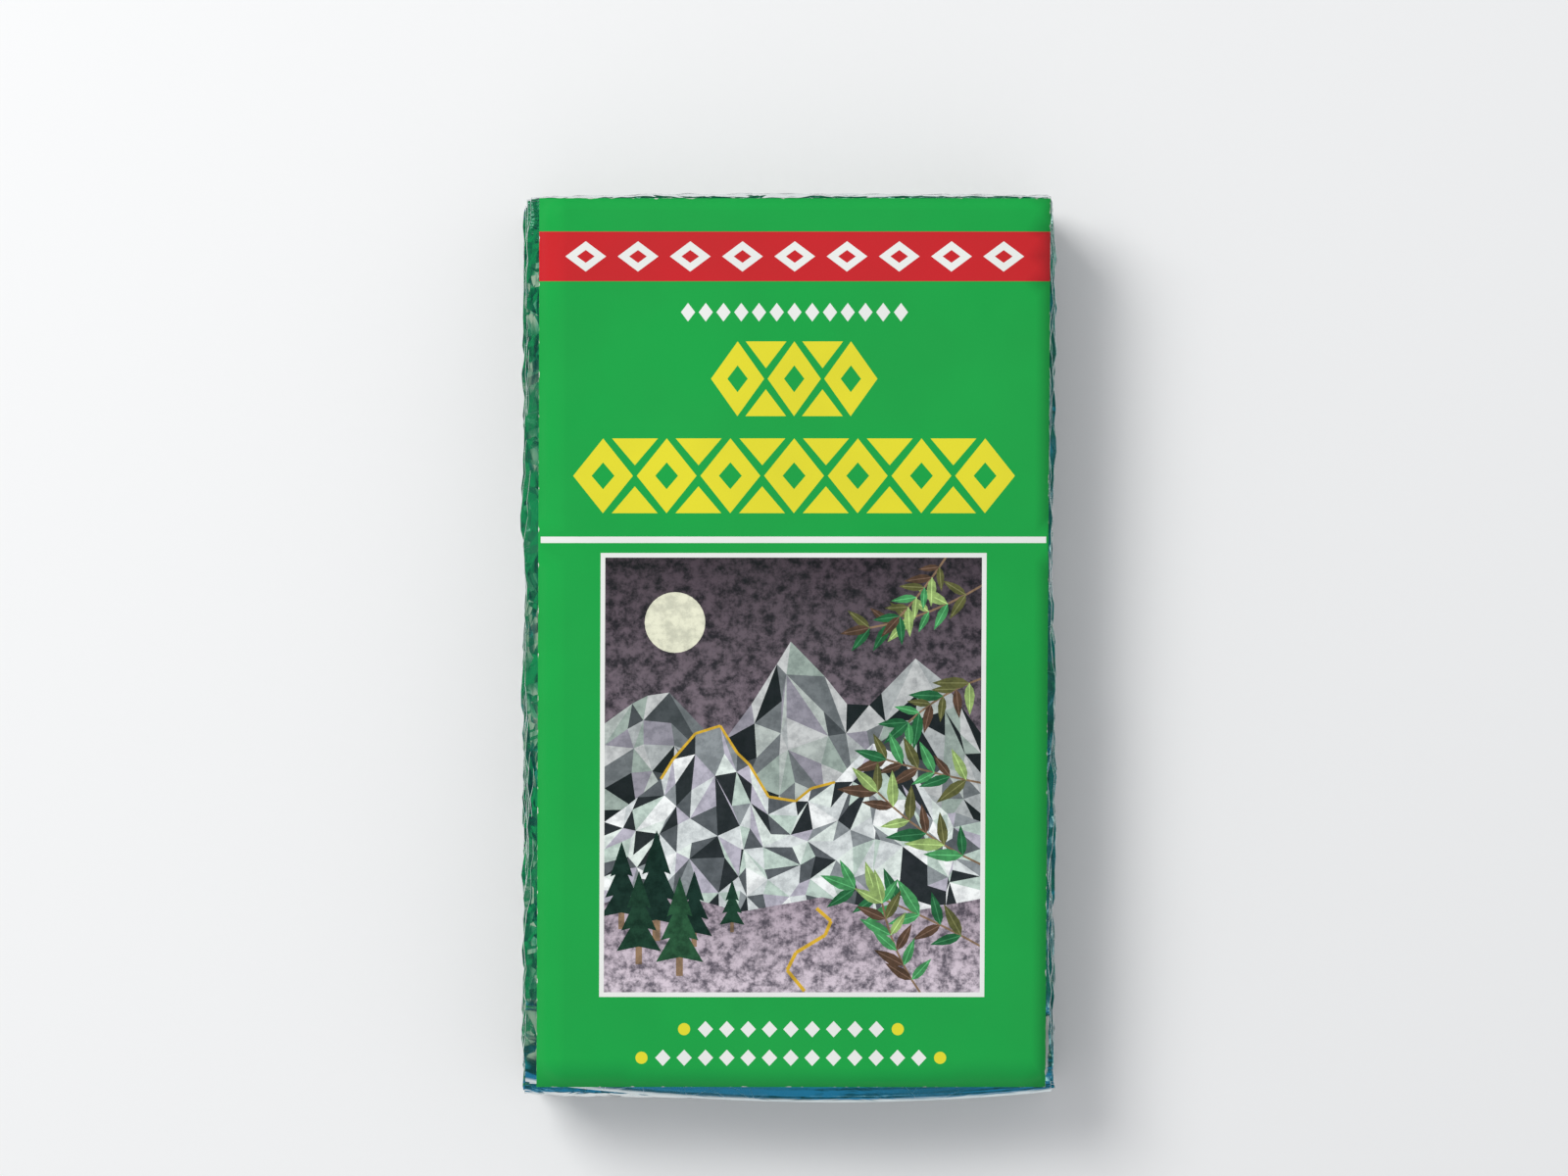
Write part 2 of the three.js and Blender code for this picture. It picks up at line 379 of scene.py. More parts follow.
# Rows of the mesh, along the strip. A row lies at a share of a layer's length, or at an angle
# round the turn after it.
Row = namedtuple("Row", "layer share angle fine")
rows = []
for layer in range(LAYERS):
    shares = [*np.linspace(0, 1, STEPS_LAYER + 1)]
    if layer in (0, LAYERS - 1):
        from_end = [*STEPS_END, END_CURL_LENGTH, SEAM_WIDTH - SEAM_STEP_LENGTH, SEAM_WIDTH]
        from_end = np.array(from_end) / LAYER_LENGTH
        shares = sorted([*shares, *(from_end if layer == 0 else 1 - from_end)])
    for share in shares:
        near_fold = min(share, 1 - share) <= FINE_SHARE
        rows.append(Row(layer, share, 0, near_fold or layer in (0, LAYERS - 1)))
    if layer < LAYERS - 1:
        rows += [Row(layer, 1, angle, True) for angle in np.linspace(0, math.pi, STEPS_FOLD + 1)[1:-1]]

# Columns of the mesh, across the strip and so through all plies. across goes from -1 at the
# strip's left edge to 1 at its right one, ply is how deep the film lies in the strip, and out how
# far its turn bulges past the edge. edge is the number of the nearest of the plies' turns, in the
# order in which the film comes to them. kept columns also run where the mesh is coarse.
Column = namedtuple("Column", "across ply out edge kept")
columns = []
for ply in range(PLIES):
    outer = ply in (0, PLIES - 1)
    heading = 1 if ply % 2 == 0 else -1
    places = sorted({*np.linspace(-1, 1, STEPS_PLY + 1), *COARSE_PLACES}) if outer else COARSE_PLACES
    for place in places:
        columns.append(Column(heading * place, ply, 0, ply + (place > 0), place in COARSE_PLACES))
    if ply < PLIES - 1:
        for angle in np.linspace(0, math.pi, STEPS_PLY_TURN + 1)[1:-1]:
            depth = ply + (1 - math.cos(angle)) / 2
            out = heading * math.sin(angle) * PLIES_DEPTH / PLIES
            columns.append(Column(heading, depth, out, ply + 1, True))

layer, share, angle, row_fine = (np.array(values)[:, None] for values in zip(*rows))
across, ply, out, edge, kept = (np.array(values)[None, :] for values in zip(*columns))
draw = random.Random(11)
next_fold = layer + 1

# The strip's middle surface, and how far along and across the flat film each point is.
edge_start = EDGE_WAVE_START[0] + (EDGE_WAVE_START[1] - EDGE_WAVE_START[0]) * (across + 1) / 2
edge_wave = np.sin(2 * np.pi * (layer + share) * PACK_LENGTH / EDGE_WAVE_LENGTH + edge_start)
x = across * (STRIP_WIDTH / 2 + EDGE_WAVE * edge_wave)
x = x + shift[layer] * (1 - share) + shift[next_fold] * share
y = bend_start(layer, x, across) * (1 - share) + bend_start(next_fold, x, across) * share
z = layer_height(layer, x, y)
turn_radius = (layer_height(np.minimum(next_fold, LAYERS - 1), x, y) - z) / 2
level = (layer + (1 - np.cos(angle)) / 2) / (LAYERS - 1)
row_step = np.hypot(
    np.diff(y + side[next_fold] * turn_radius * np.sin(angle), axis=0),
    np.diff(z + turn_radius * (1 - np.cos(angle)), axis=0),
)
flat_along = np.concatenate([[0], np.cumsum(row_step.mean(axis=1))])[:, None]
column_step = np.hypot(np.diff(across * STRIP_WIDTH / 2 + out), np.diff(ply * PLIES_DEPTH / PLIES))
flat_across = np.concatenate([[0], np.cumsum(column_step)])[None, :]

# Each of the plies' turns strays along its own line, and so do the ends where they were cut.
strays = [waves(flat_along[:, 0], PLY_STRAY_WAVES, draw) for _ in range(PLIES + 1)]
strays = np.stack(strays, axis=1)
from_middle_ply = 2 * ply / (PLIES - 1) - 1
side_stray = PLY_STRAY * strays[:, edge[0]] - PLY_STRAY_INWARD - ROUNDED_SIDE * from_middle_ply**2
x = x + out + side_stray * np.sign(across) * np.abs(across) ** SIDE_POWER
first_end = np.clip(1 - (layer + share) * LAYER_LENGTH / END_REACH, 0, 1) ** 2
last_end = np.clip(1 - (LAYERS - layer - share) * LAYER_LENGTH / END_REACH, 0, 1) ** 2
free_end = first_end + last_end
end_strays = np.array([draw.uniform(*END_STRAY) for _ in range(PLIES)])[np.rint(ply).astype(int)]
top_ply = np.where(layer > 0, ply < 0.5, ply > PLIES - 1.5)
y = y + free_end * end_strays * ~top_ply
from_end = LAYER_LENGTH * np.minimum(layer + share, LAYERS - layer - share)
curl = END_CURL * top_ply * np.clip(1 - from_end / END_CURL_LENGTH, 0, 1) ** 2
seam = top_ply * np.clip((SEAM_WIDTH - from_end) / SEAM_STEP_LENGTH, 0, 1)

# Layers take on the creases of the ones below, the plies fan out, a fold's outside is dented, and
# the outermost film lifts off the others in small facets. The long waves of the sides are at their
# full height from a third of the way up the pack.
at_side = across**SIDE_POWER
emboss = EMBOSS * creases(x, y, EMBOSS_SIZES, draw) + EMBOSS_WAVE * waves(flat_along, EMBOSS_WAVES, draw)
emboss = emboss + SIDE_RIPPLE * at_side * waves(flat_along, SIDE_RIPPLE_WAVES, draw)
side_wave = SIDE_WAVE * at_side * waves(y + SIDE_WAVE_OFFSET * np.sign(across), SIDE_WAVES, draw)
emboss = emboss + side_wave * np.minimum(1, 3 * level) / np.maximum(level, 0.01)
pinch = 1 - SIDE_PINCH * at_side * np.clip(waves(flat_along, PINCH_WAVES, draw), 0, 1)
swell = np.where((edge > 0) & (edge < PLIES), TURN_SWELL * across**TURN_POWER, 0)
depth = ply + (ply - edge + 0.5) * swell
thickness = PLIES_DEPTH * (1 + DEPTH_UNEVENNESS * waves(flat_along, DEPTH_WAVES, draw)) * pinch
offset = (depth / (PLIES - 1) - 0.5) * thickness
outside_share = np.clip((turn_radius - side[next_fold] * offset) / (turn_radius + PLIES_DEPTH / 2), 0, 1)
dent_x = x + FOLD_DENT_SHIFT[0] * layer
dent_y = FOLD_DENT_TURN * angle + FOLD_DENT_SHIFT[1] * layer
dent = creases(dent_x, dent_y, FOLD_DENT_SIZES, draw)
dent = FOLD_DENT * dent * outside_share * np.sin(angle)
lift = LIFT * (0.5 + 0.5 * creases(flat_along, flat_across, LIFT_SIZES, draw))
lift = lift * (1 - SEAM_FLATTENING * seam)
emboss = emboss * (1 - SEAM_FLATTENING * seam)
offset = (offset - lift * (ply < 0.5) + lift * (ply > PLIES - 1.5)) * (1 - END_FLATTENING * free_end)
z = z - free_end * END_FLATTENING * PLIES_DEPTH / 2 - last_end * END_DROOP - curl - SEAM_STEP * seam
y = y + side[next_fold] * (turn_radius * np.sin(angle) + dent) - offset * np.sin(angle)
z = z + turn_radius * (1 - np.cos(angle)) + offset * side[next_fold] * np.cos(angle) + emboss * level
droop = rim_droop(STRIP_WIDTH / 2 * (1 - np.abs(across)), LAYER_LENGTH * np.minimum(share, 1 - share))
resting_height = FLOOR_CLEARANCE + 1.5 * (LIFT - lift) + FLOOR_PLY_STEP * ply
z = np.maximum(z - level * droop, resting_height)

# One face for each step of the mesh. Where fine rows meet coarse ones, a face takes in the fine
# row's extra points.
row_count, column_count = len(rows), len(columns)
point_number = np.arange(row_count * column_count).reshape(row_count, column_count)
kept_columns = np.flatnonzero(kept[0])
faces = []
for row in range(row_count - 1):
    lower_fine, upper_fine = row_fine[row, 0], row_fine[row + 1, 0]
    stops = np.arange(column_count) if lower_fine and upper_fine else kept_columns
    for first, last in zip(stops[:-1], stops[1:]):
        lower = point_number[row, first : last + 1 : 1 if lower_fine else last - first]
        upper = point_number[row + 1, first : last + 1 : 1 if upper_fine else last - first]
        faces.append([*lower.tolist(), *upper.tolist()[::-1]])
used = np.zeros(row_count * column_count, bool)
used[[point for face in faces for point in face]] = True
new_number = np.cumsum(used) - 1
faces = [[int(new_number[point]) for point in face] for face in faces]


def on_points(values):
    """One number for each point of the mesh, from values for its rows and columns."""
    return np.broadcast_to(values, (row_count, column_count)).reshape(-1)[used]


film_mesh = bpy.data.meshes.new("film_bag")
film_points = np.stack([on_points(x), on_points(y), on_points(z)], axis=1) * MM
film_mesh.from_pydata(film_points.tolist(), [], faces)
film_mesh.shade_smooth()
film = bpy.data.objects.new("film_bag", film_mesh)
bpy.context.scene.collection.objects.link(film)

# Where each point lies on the flat film, in metres, how near it is to the strip's edges and to a
# fold, and whether it is on the seam, for the creases of its finish.
NEAR_EDGE_POWER = 10
NEAR_FOLD_POWER = 30
loop_points = np.zeros(len(film_mesh.loops), np.int32)
film_mesh.loops.foreach_get("vertex_index", loop_points)
flat_places = np.stack([on_points(flat_across), on_points(flat_along)], axis=1) * MM
flat_map = film_mesh.uv_layers.new(name="flat_film")
flat_map.data.foreach_set("uv", flat_places[loop_points].astype(np.float32).reshape(-1))
near_edge = film_mesh.attributes.new("near_edge", "FLOAT", "POINT")
near_edge.data.foreach_set("value", on_points(np.abs(across) ** NEAR_EDGE_POWER).astype(np.float32))
near_fold = film_mesh.attributes.new("near_fold", "FLOAT", "POINT")
fold_nearness = np.maximum(np.sin(angle), np.abs(2 * share - 1) ** NEAR_FOLD_POWER)
near_fold.data.foreach_set("value", on_points(fold_nearness).astype(np.float32))
on_seam = film_mesh.attributes.new("on_seam", "FLOAT", "POINT")
on_seam.data.foreach_set("value", on_points(seam).astype(np.float32))

# The film's finish: facets, streaks and a net of creases, as many of them as there are in a metre
# of film, how high each kind stands in the relief, how a bend makes them less straight, and the
# film's roughness where it is clean and where handling has marked it.
FILM_COLOUR = srgb(226, 231, 231)
CREASE_COLOUR = srgb(238, 241, 241)
LARGE_FACETS = 140.0
SMALL_FACETS = 330.0
SMALL_FACET_RELIEF = 0.3
EDGE_STREAKS = (300.0, 60.0, 0.0)
EDGE_STREAK_RELIEF = 0.8
FOLD_STREAKS = (150.0, 1100.0, 0.0)
FOLD_STREAK_RELIEF = 1.8
CREASE_NET = 170.0
CREASE_WIDTH = 0.025
CREASE_SHARE = 0.7
CREASE_ROUGHNESS = 0.2
RELIEF_DEPTH = 0.00025
BEND_SCALE = 70.0
BEND = (0.004, 0.004, 0.0)
FILM_CLEAN = 0.08
FILM_MARKED = 0.2


def handling_marks_group():
    """Shader group of soft cloudy marks from handling: the marks, and a roughness that they change."""
    group = bpy.data.node_groups.new("handling_marks", "ShaderNodeTree")
    group.interface.new_socket("Place", in_out="INPUT", socket_type="NodeSocketVector")
    for name in ("Scale", "Clean", "Marked"):
        group.interface.new_socket(name, in_out="INPUT", socket_type="NodeSocketFloat")
    for name in ("Marks", "Roughness"):
        group.interface.new_socket(name, in_out="OUTPUT", socket_type="NodeSocketFloat")
    given = group.nodes.new("NodeGroupInput").outputs
    marks = noise(group, given["Place"], given["Scale"], 4.0)
    roughness = ramp(group, marks, 0.3, 0.7, given["Clean"], given["Marked"])
    add_node(group, "NodeGroupOutput", (("Marks", marks), ("Roughness", roughness)))
    return group


handling_marks = handling_marks_group()
film_material = bpy.data.materials.new("metallised_film")
film_material.use_nodes = True
tree = film_material.node_tree
shader = tree.nodes["Principled BSDF"]
place = add_node(tree, "ShaderNodeUVMap", uv_map="flat_film").outputs[0]
bend = add_node(tree, "ShaderNodeTexNoise", (("Vector", place), ("Scale", BEND_SCALE))).outputs["Color"]
bent = ((0, bend), (1, BEND), (2, place))
bent = add_node(tree, "ShaderNodeVectorMath", bent, operation="MULTIPLY_ADD").outputs[0]


def facets(scale, turn):
    """Relief of flat facets of one size, with straight creases between them."""
    turned = (("Vector", bent), ("Angle", turn))
    turned = add_node(tree, "ShaderNodeVectorRotate", turned, rotation_type="Z_AXIS").outputs[0]
    cells = (("Vector", turned), ("Scale", scale))
    settings = {"voronoi_dimensions": "2D", "distance": "CHEBYCHEV"}
    return add_node(tree, "ShaderNodeTexVoronoi", cells, **settings).outputs["Distance"]


def streaks(stretch, share, height):
    """Relief of fine wrinkles that run one way, where share is above 0."""
    stretched = add_node(tree, "ShaderNodeVectorMath", ((0, bent), (1, stretch)), operation="MULTIPLY")
    wrinkles = noise(tree, stretched.outputs[0], 1.0, 2.0)
    return calculate(tree, "MULTIPLY", wrinkles, calculate(tree, "MULTIPLY", share, height))


edge_share = add_node(tree, "ShaderNodeAttribute", attribute_name="near_edge").outputs["Fac"]
fold_share = add_node(tree, "ShaderNodeAttribute", attribute_name="near_fold").outputs["Fac"]
seam_share = add_node(tree, "ShaderNodeAttribute", attribute_name="on_seam").outputs["Fac"]
small_facets = calculate(tree, "MULTIPLY", facets(SMALL_FACETS, 1.1), SMALL_FACET_RELIEF)
relief = calculate(tree, "ADD", facets(LARGE_FACETS, 0.3), small_facets)
relief = calculate(tree, "ADD", relief, streaks(EDGE_STREAKS, edge_share, EDGE_STREAK_RELIEF))
relief = calculate(tree, "ADD", relief, streaks(FOLD_STREAKS, fold_share, FOLD_STREAK_RELIEF))
seam_relief = ramp(tree, seam_share, 0.0, 1.0, 1.0, 1.0 - SEAM_FLATTENING)
relief = calculate(tree, "MULTIPLY", relief, seam_relief)
bump = (("Height", relief), ("Strength", 1.0), ("Distance", RELIEF_DEPTH))
plug(tree, shader.inputs["Normal"], add_node(tree, "ShaderNodeBump", bump).outputs[0])
marks = (("Place", place), ("Scale", 45.0), ("Clean", FILM_CLEAN), ("Marked", FILM_MARKED))
marks = add_node(tree, "ShaderNodeGroup", marks, node_tree=handling_marks).outputs
net = (("Vector", bent), ("Scale", CREASE_NET))
settings = {"voronoi_dimensions": "2D", "feature": "DISTANCE_TO_EDGE"}
from_crease = add_node(tree, "ShaderNodeTexVoronoi", net, **settings).outputs["Distance"]
crease_share = ramp(tree, marks["Marks"], 0.44, 0.6, 0.0, CREASE_SHARE)
crease = ramp(tree, from_crease, 0.0, CREASE_WIDTH, 1.0, 0.0)
crease = calculate(tree, "MULTIPLY", crease, crease_share)
rougher = calculate(tree, "MULTIPLY", crease, CREASE_ROUGHNESS)
plug(tree, shader.inputs["Roughness"], calculate(tree, "ADD", marks["Roughness"], rougher))
plug(tree, shader.inputs["Base Color"], blend(tree, crease, FILM_COLOUR, CREASE_COLOUR))
shader.inputs["Metallic"].default_value = 1.0
film_mesh.materials.append(film_material)
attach(film, "root")
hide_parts("folded_bag")

# The label. A sheet of coated card printed edge to edge, cut a little narrower than the pack. It
# lies loose on the top layer and takes on its crown, and half of the droop of its rim. Places on it
# are in millimetres from its lower left corner.

# Where its top and bottom edges lie on the pack, and its size. Then how high its back is over the
# middle of the top layer, its ripple, its share of the rim's droop, how far two of its corners
# lift, and the longest step between its points.
LABEL_TOP_Y, LABEL_TOP_LEFT, LABEL_TOP_RIGHT = 77.0, -42.7, 44.8
LABEL_BOTTOM_Y, LABEL_BOTTOM_LEFT, LABEL_BOTTOM_RIGHT = -75.1, -43.2, 43.9
CARD_WIDTH = 87.5
CARD_HEIGHT = LABEL_TOP_Y - LABEL_BOTTOM_Y
CARD_THICKNESS = 0.3
CARD_CLEARANCE = 0.92
CARD_RIPPLE = 0.04
CARD_DROOP_SHARE = 0.5
CORNER_LIFT = 0.3
CORNER_POWER = 14
CURVE_STEP = 5.0

GREEN = srgb(20, 167, 69)
RED = srgb(206, 30, 38)
YELLOW = srgb(232, 222, 44)
WHITE = srgb(238, 239, 233)
BARE_CARD = srgb(232, 231, 224)
DUSK = srgb(62, 50, 58)
GROUND = srgb(146, 133, 143)
PALE_GROUND = srgb(186, 176, 184)
MOON = srgb(226, 226, 200)
TAN = srgb(139, 112, 86)
OCHRE = srgb(214, 172, 44)
SILVERS = [
    srgb(240, 243, 240), srgb(214, 220, 218), srgb(190, 208, 196), srgb(182, 178, 190),
    srgb(140, 146, 148), srgb(92, 96, 100), srgb(44, 45, 50), srgb(222, 232, 224),
]
LEAF_GREENS = [
    srgb(70, 150, 88), srgb(150, 178, 104), srgb(36, 104, 60), srgb(96, 96, 52), srgb(92, 66, 50),
]
FIR_GREENS = [srgb(28, 62, 44), srgb(40, 84, 54), srgb(24, 48, 40)]

# One printed shape: its outline, its ink at its lowest and at its highest point, and how strongly
# the picture's mottled tone shows in it, 0 outside the picture. Later shapes cover earlier ones.
Print = namedtuple("Print", "outline low_ink high_ink tone")
prints = []
draw = random.Random(5)


def lay(outline, ink, tone=0.0, high_ink=None):
    """Adds a printed shape. Long edges get points on the way, so that they follow the card's curve."""
    area = sum(a[0] * b[1] - b[0] * a[1] for a, b in zip(outline, outline[1:] + outline[:1]))
    outline = outline if area > 0 else outline[::-1]
    points = []
    for (u, v), (next_u, next_v) in zip(outline, outline[1:] + outline[:1]):
        steps = math.ceil(math.hypot(next_u - u, next_v - v) / CURVE_STEP)
        for share in [step / steps for step in range(steps)]:
            points.append((round(u + (next_u - u) * share, 3), round(v + (next_v - v) * share, 3)))
    prints.append(Print(points, ink, high_ink or ink, tone))


def rectangle(left, bottom, right, top):
    """Corners of an upright rectangle."""
    return [(left, bottom), (right, bottom), (right, top), (left, top)]


def lozenge(u, v, width, height):
    """Corners of a lozenge round a middle."""
    return [(u - width / 2, v), (u, v - height / 2), (u + width / 2, v), (u, v + height / 2)]


def disc(u, v, radius, steps=20):
    """Points of a circle round a middle."""
    angles = [2 * math.pi * step / steps for step in range(steps)]
    return [(u + radius * math.cos(angle), v + radius * math.sin(angle)) for angle in angles]


def row_of(count, left, right):
    """Middles and width of equal spaces side by side."""
    width = (right - left) / count
    return [left + width * (number + 0.5) for number in range(count)], width


lay(rectangle(0, 0, CARD_WIDTH, CARD_HEIGHT), GREEN)

# A red band near the top with a frieze of white lozenges, and a row of small ones under it.
BAND_BOTTOM, BAND_TOP = 137.9, 146.4
BAND_MIDDLE = (BAND_BOTTOM + BAND_TOP) / 2
BAND_MARGIN = 3.5
SMALL_ROW_V = 132.6
lay(rectangle(0, BAND_BOTTOM, CARD_WIDTH, BAND_TOP), RED)
middles, width = row_of(9, BAND_MARGIN, CARD_WIDTH - BAND_MARGIN)
for u in middles:
    lay(lozenge(u, BAND_MIDDLE, 0.78 * width, 5.2), WHITE)
    lay(lozenge(u, BAND_MIDDLE, 0.34 * width, 2.2), RED)
middles, width = row_of(13, 24, 63.5)
for u in middles:
    lay(lozenge(u, SMALL_ROW_V, 0.8 * width, 3.2), WHITE)

# Two rows of yellow lozenges with green cores, with small triangles between them.
LOZENGE_HEIGHT = 12.8
CORE_HEIGHT = 4.6
for count, left, right, v in ((3, 29.2, 58.3, 121.2), (7, 5.6, 82.0, 104.6)):
    middles, width = row_of(count, left, right)
    half = 0.36 * width
    for u in middles:
        lay(lozenge(u, v, 0.94 * width, LOZENGE_HEIGHT), YELLOW)
        lay(lozenge(u, v, half, CORE_HEIGHT), GREEN)
    for u in [middle + width / 2 for middle in middles[:-1]]:
        for way in (-1, 1):
            edge_v = v + way * LOZENGE_HEIGHT / 2
            lay([(u - half, edge_v), (u + half, edge_v), (u, edge_v - way * CORE_HEIGHT)], YELLOW)

# A white rule, the white frame of the picture, and the picture's ground.
RULE_BOTTOM, RULE_TOP, RULE_MARGIN = 93.1, 94.2, 0.4
lay(rectangle(RULE_MARGIN, RULE_BOTTOM, CARD_WIDTH - RULE_MARGIN, RULE_TOP), WHITE)
PICTURE_LEFT, PICTURE_BOTTOM, PICTURE_RIGHT, PICTURE_TOP = 11.5, 16.2, 76.1, 90.6
FRAME = 0.8
frame_box = (PICTURE_LEFT - FRAME, PICTURE_BOTTOM - FRAME, PICTURE_RIGHT + FRAME, PICTURE_TOP + FRAME)
lay(rectangle(*frame_box), WHITE)
picture_number = len(prints)
lay(rectangle(PICTURE_LEFT, PICTURE_BOTTOM, PICTURE_RIGHT, PICTURE_TOP), GROUND, 1.0, DUSK)
lay(disc(23.5, 79.5, 5.2, 32), MOON, 0.25)


def mountains(base, peaks, column_count, row_count, shadow):
    """A range of silver facets on a level base, under straight ridges between its peaks."""
    peak_u, peak_v = zip(*peaks)
    grid = []
    for column in range(column_count + 1):
        u = PICTURE_LEFT + (PICTURE_RIGHT - PICTURE_LEFT) * column / column_count
        inside = 0 < column < column_count
        u = u + (draw.uniform(-1.4, 1.4) if inside else 0)
        top = float(np.interp(u, peak_u, peak_v)) + draw.uniform(-0.8, 0.8)
        line = []
        for row in range(row_count + 1):
            stray_u, stray_v = 0.0, 0.0
            if 0 < row < row_count and inside:
                stray_u, stray_v = draw.uniform(-1.0, 1.0), draw.uniform(-1.1, 1.1)
            line.append((u + stray_u, base + (top - base) * row / row_count + stray_v))
        grid.append(line)
    for column in range(column_count):
        for row in range(row_count):
            a, b = grid[column][row], grid[column + 1][row]
            d, c = grid[column][row + 1], grid[column + 1][row + 1]
            halves = ([a, b, c], [a, c, d]) if (column + row) % 2 else ([a, b, d], [b, c, d])
            for outline in halves:
                ink = draw.choice(SILVERS)
                ink = tuple(value * shadow for value in ink[:3]) + (1.0,)
                lay(outline, ink, 0.3)
    return [line[-1] for line in grid]


def line_of(points, width, ink, tone=0.3):
    """A thin line through points, of one quadrilateral for each stretch."""
    for (u0, v0), (u1, v1) in zip(points[:-1], points[1:]):
        length = math.hypot(u1 - u0, v1 - v0)
        side_u, side_v = -(v1 - v0) / length * width / 2, (u1 - u0) / length * width / 2
        right = [(u0 - side_u, v0 - side_v), (u1 - side_u, v1 - side_v)]
        left = [(u1 + side_u, v1 + side_v), (u0 + side_u, v0 + side_v)]
        lay(right + left, ink, tone)


far_peaks = [(11.5, 62), (22, 69), (31, 58), (44, 77), (55, 64), (66, 74), (76.1, 60)]
mountains(40, far_peaks, 16, 6, 0.62)
near_peaks = [(11.5, 46), (19, 50), (30, 64), (41, 48), (50, 52), (60, 60), (70, 47), (76.1, 45)]
crest = mountains(29, near_peaks, 20, 7, 1.0)
line_of(crest[3:13], 0.45, OCHRE)
ground_top = [(PICTURE_LEFT, 31.5), (22, 33.5), (35, 30.0), (49, 32.5), (62, 29.6), (PICTURE_RIGHT, 32.2)]
ground_shape = [(PICTURE_LEFT, PICTURE_BOTTOM), (PICTURE_RIGHT, PICTURE_BOTTOM)] + ground_top[::-1]
lay(ground_shape, PALE_GROUND, 1.0, GROUND)
line_of([(46, 16.4), (43, 20), (44.5, 23), (49.5, 26), (50.5, 28.4), (48, 30.6)], 0.6, OCHRE)


def fir(u, v, height):
    """A fir: a short trunk and three tiers of boughs."""
    lay(rectangle(u - 0.035 * height, v, u + 0.035 * height, v + 0.2 * height), TAN, 0.5)
    ink = draw.choice(FIR_GREENS)
    for start, end, half_width in ((0.14, 0.55, 0.24), (0.36, 0.78, 0.19), (0.6, 1.0, 0.13)):
        tips = [(u - half_width * height, v + start * height), (u, v + (start + 0.05) * height)]
        tips += [(u + half_width * height, v + start * height), (u, v + end * height)]
        lay(tips, ink, 0.5)


# Each fir by the foot of its trunk and its height.
firs = ((14.5, 27, 15), (20.5, 25, 19), (27.0, 24, 13), (17.5, 21, 16), (24.5, 19, 17), (33.5, 26.5, 9))
for u, v, height in firs:
    fir(u, v, height)


def leaf(u, v, length, heading, ink):
    """A pointed leaf with a pale midrib."""
    right, left = [], []
    for share in (0.0, 0.18, 0.4, 0.65, 0.86, 1.0):
        width = length * 0.36 * math.sin(math.pi * share**0.8) * (1 - 0.25 * share)
        along_u, along_v = math.cos(heading) * length * share, math.sin(heading) * length * share
        side_u, side_v = -math.sin(heading) * width / 2, math.cos(heading) * width / 2
        right.append((u + along_u - side_u, v + along_v - side_v))
        left.append((u + along_u + side_u, v + along_v + side_v))
    lay(right + left[-2:0:-1], ink, 0.4)
    rib_end = (u + math.cos(heading) * length * 0.85, v + math.sin(heading) * length * 0.85)
    rib_ink = tuple(min(1, value * 1.7 + 0.03) for value in ink[:3]) + (1.0,)
    line_of([(u, v), rib_end], 0.16, rib_ink)


def sprig(u, v, heading, length, leaf_length):
    """A twig with leaves to both sides and one at its end."""
    bend = draw.uniform(-0.5, 0.5)
    points = [(u, v)]
    for step in range(6):
        heading = heading + bend / 6
        u, v = u + math.cos(heading) * length / 6, v + math.sin(heading) * length / 6
        points.append((u, v))
    line_of(points, 0.35, TAN, 0.4)
    for (start_u, start_v) in points[1:]:
        for way in (-1, 1):
            ink = draw.choice(LEAF_GREENS)
            own_length = leaf_length * draw.uniform(0.75, 1.15)
            leaf(start_u, start_v, own_length, heading + way * draw.uniform(0.6, 1.0), ink)
    leaf(u, v, leaf_length, heading, draw.choice(LEAF_GREENS))


# Each sprig by its start, its heading in degrees, its length and that of its leaves.
sprigs = (
    (76.4, 86, 214, 21, 5.2),
    (76.4, 70, 196, 15, 5.6),
    (76.4, 52, 170, 17, 5.8),
    (76.4, 38, 158, 22, 6.2),
    (76.4, 24, 150, 24, 6.4),
    (66, 16, 128, 17, 6.0),
    (70, 90.8, 238, 13, 4.8),
)
for u, v, degrees, length, leaf_length in sprigs:
    sprig(u, v, math.radians(degrees), length, leaf_length)

# Two rows of small white lozenges under the picture, between yellow dots.
for count, left, right, v in ((11, 23.5, 63.9, 9.9), (15, 16.2, 71.2, 5.0)):
    middles, width = row_of(count, left, right)
    for u in middles[1:-1]:
        lay(lozenge(u, v, 0.72 * width, 2.8), WHITE)
    for u in (middles[0], middles[-1]):
        lay(disc(u, v, 1.05), YELLOW)

# The printed face is cut along every outline, and each piece takes the ink of the last shape that
# covers it. The picture's shapes count inside the picture only.
print_points, print_faces = [], []
for shape in prints:
    first = len(print_points)
    print_points += shape.outline
    print_faces.append(list(range(first, len(print_points))))
for u in np.arange(CURVE_STEP, CARD_WIDTH - 1, CURVE_STEP):
    for v in np.arange(CURVE_STEP, CARD_HEIGHT - 1, CURVE_STEP):
        print_points.append((float(u), float(v)))
cut = delaunay_2d_cdt(print_points, [], print_faces, 1, 1e-4)
cut_points, cut_faces, shapes_at = np.array([tuple(point) for point in cut[0]]), cut[2], cut[5]


def top_shape(numbers):
    """The number of the last printed shape of those that cover a place."""
    in_picture = picture_number in numbers
    return max(number for number in numbers if in_picture or prints[number].tone == 0)


